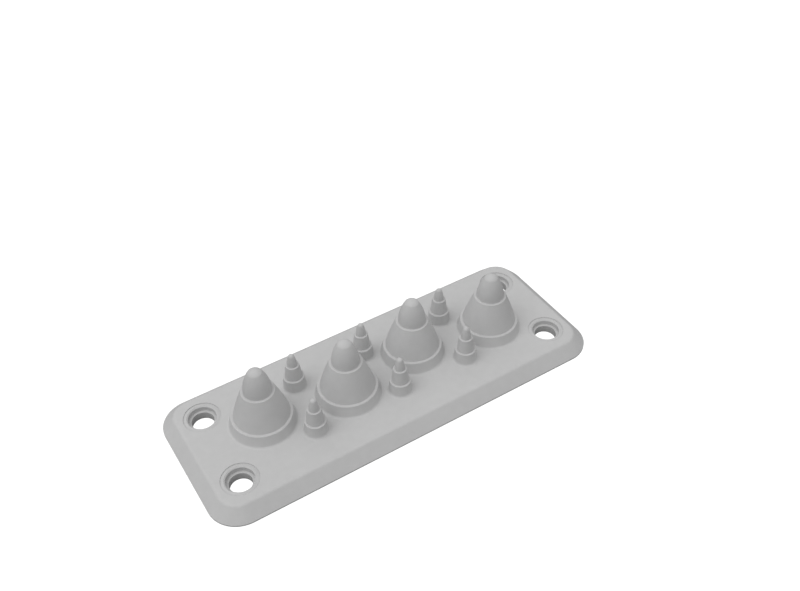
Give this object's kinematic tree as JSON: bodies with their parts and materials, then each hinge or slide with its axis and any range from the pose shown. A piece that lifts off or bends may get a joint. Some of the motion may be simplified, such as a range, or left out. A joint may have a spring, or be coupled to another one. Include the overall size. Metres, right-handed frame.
{
  "type": "cable entry plate",
  "caption": "Flat moulded plate with a sloping skirt, corner screw holes and hollow stepped membrane cones, large and small, that cables are pushed through.",
  "frame": {"origin": "middle of the flat underside that lies on the wall of the enclosure", "axes": "+X along the plate's long side, +Y along its short side, +Z out of the wall, towards the cone tips"},
  "size_m": [0.1574, 0.061, 0.0317],
  "materials": {
    "elastomer": "matte, light grey"
  },
  "bodies": {
    "root": {"entry_plate": "elastomer"}
  },
  "joints": []
}
